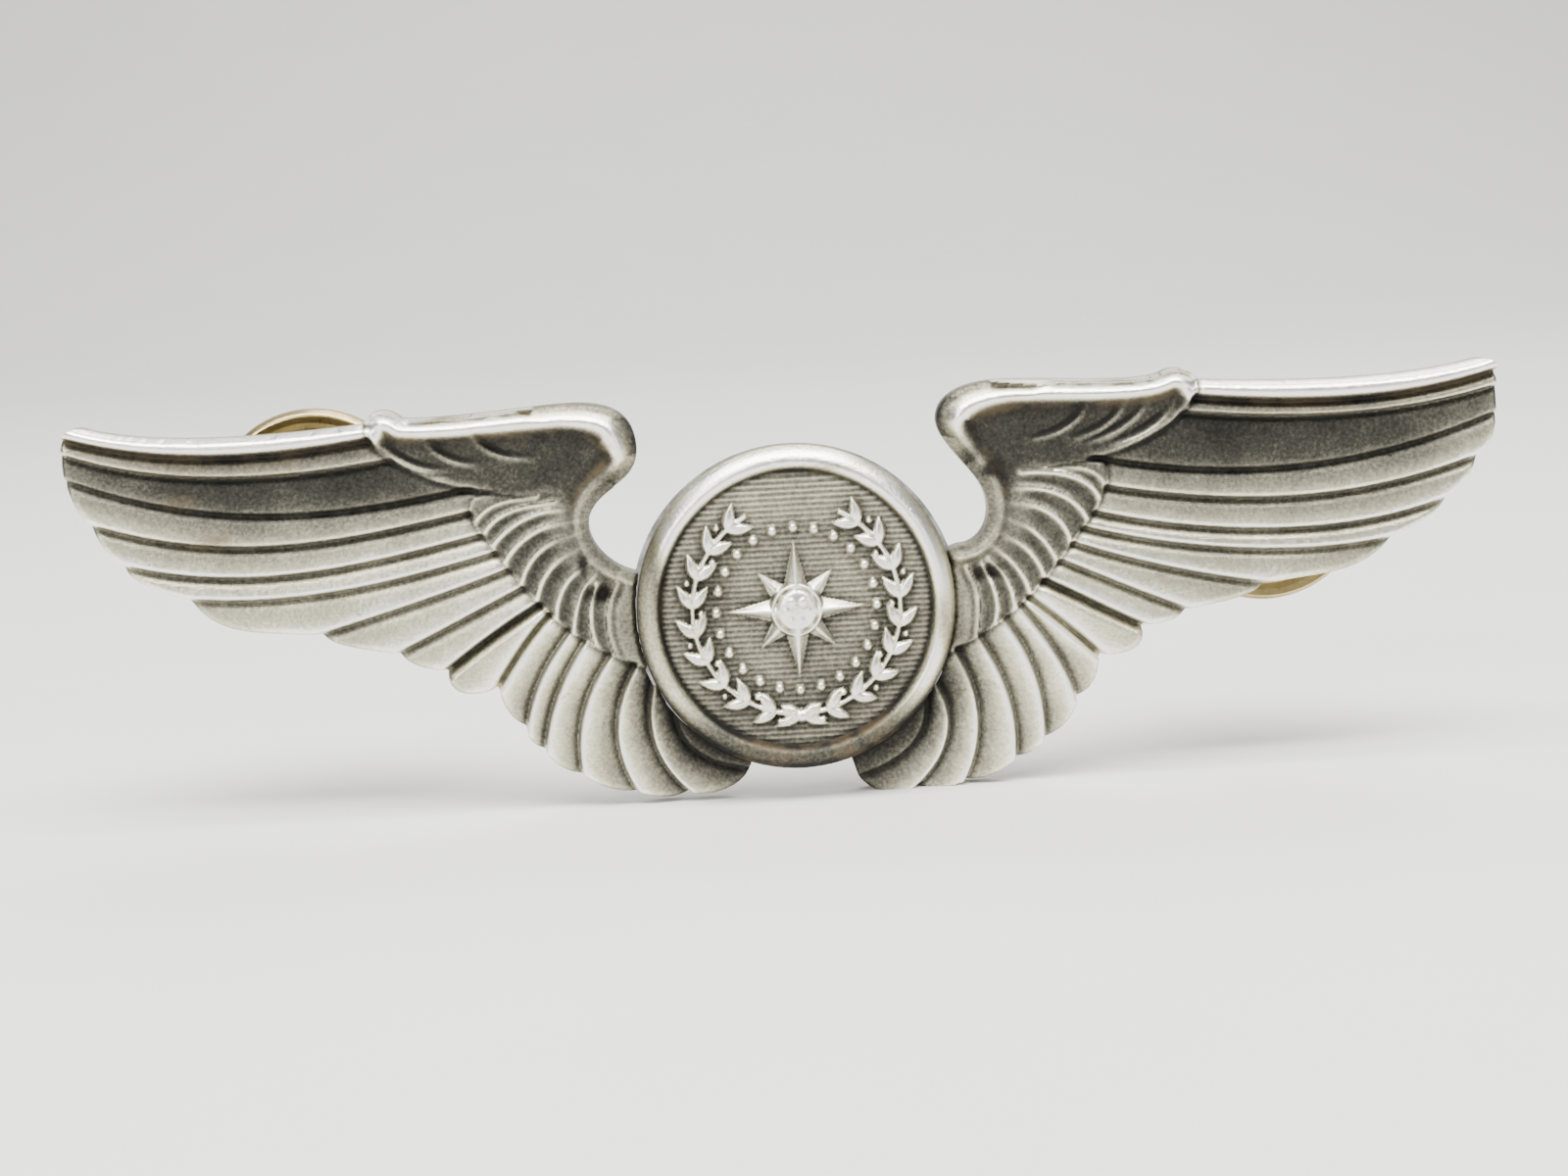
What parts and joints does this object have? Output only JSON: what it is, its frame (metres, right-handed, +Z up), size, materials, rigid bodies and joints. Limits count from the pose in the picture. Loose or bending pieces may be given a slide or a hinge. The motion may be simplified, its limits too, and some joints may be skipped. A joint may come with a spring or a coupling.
{
  "type": "pilot wings pin",
  "caption": "Die-struck pair of feathered wings with a round applied medallion, worn on cloth by two posts and two butterfly clutches.",
  "frame": {"origin": "centre of the round land in the middle of the badge's back, on the medallion's axis", "axes": "+X along the wings to the viewer's right, +Z up as worn, +Y out of the back along the posts; the face looks along -Y"},
  "size_m": [0.0762, 0.0123, 0.022],
  "materials": {
    "silver": "oxidised silver, polished on the high places",
    "post": "satin nickel silver",
    "solder": "dull grey",
    "brass": "worn satin"
  },
  "bodies": {
    "badge": {"wings_plate": "silver", "medallion": "silver", "medallion_solder": "solder", "left_post": "post", "right_post": "post", "left_post_solder": "solder", "right_post_solder": "solder"},
    "left_base": {"left_cup": "brass"},
    "left_clip": {"left_frame": "brass", "left_spring": "brass"},
    "left_ear_in": {"left_lever_in": "brass"},
    "left_ear_out": {"left_lever_out": "brass"},
    "right_base": {"right_cup": "brass"},
    "right_clip": {"right_frame": "brass", "right_spring": "brass"},
    "right_ear_in": {"right_lever_in": "brass"},
    "right_ear_out": {"right_lever_out": "brass"}
  },
  "joints": [
    {"name": "left_clutch_slide", "type": "slide", "parent": "badge", "child": "left_base", "axis": [0, 1, 0], "range_m": [-0.0018, 0.012]},
    {"name": "left_clip_spin", "type": "hinge", "parent": "left_base", "child": "left_clip", "pos_m": [-0.0256, 0.0034, 0.0058], "axis": [0, 1, 0], "continuous": true},
    {"name": "left_ear_in_squeeze", "type": "hinge", "parent": "left_clip", "child": "left_ear_in", "pos_m": [-0.0236, 0.00515, 0.0058], "axis": [0, 0, 1], "range_deg": [0, 12], "stiffness_Nm_per_rad": 0.1, "springref_deg": -2.86},
    {"name": "left_ear_out_squeeze", "type": "hinge", "parent": "left_clip", "child": "left_ear_out", "pos_m": [-0.0276, 0.00515, 0.0058], "axis": [0, 0, -1], "range_deg": [0, 12], "stiffness_Nm_per_rad": 0.1, "springref_deg": -2.86},
    {"name": "right_clutch_slide", "type": "slide", "parent": "badge", "child": "right_base", "axis": [0, 1, 0], "range_m": [-0.0018, 0.012]},
    {"name": "right_clip_spin", "type": "hinge", "parent": "right_base", "child": "right_clip", "pos_m": [0.0265, 0.0034, 0.0037], "axis": [0, 1, 0], "continuous": true},
    {"name": "right_ear_in_squeeze", "type": "hinge", "parent": "right_clip", "child": "right_ear_in", "pos_m": [0.0245, 0.00515, 0.0037], "axis": [0, 0, -1], "range_deg": [0, 12], "stiffness_Nm_per_rad": 0.1, "springref_deg": -2.86},
    {"name": "right_ear_out_squeeze", "type": "hinge", "parent": "right_clip", "child": "right_ear_out", "pos_m": [0.0285, 0.00515, 0.0037], "axis": [0, 0, 1], "range_deg": [0, 12], "stiffness_Nm_per_rad": 0.1, "springref_deg": -2.86}
  ]
}
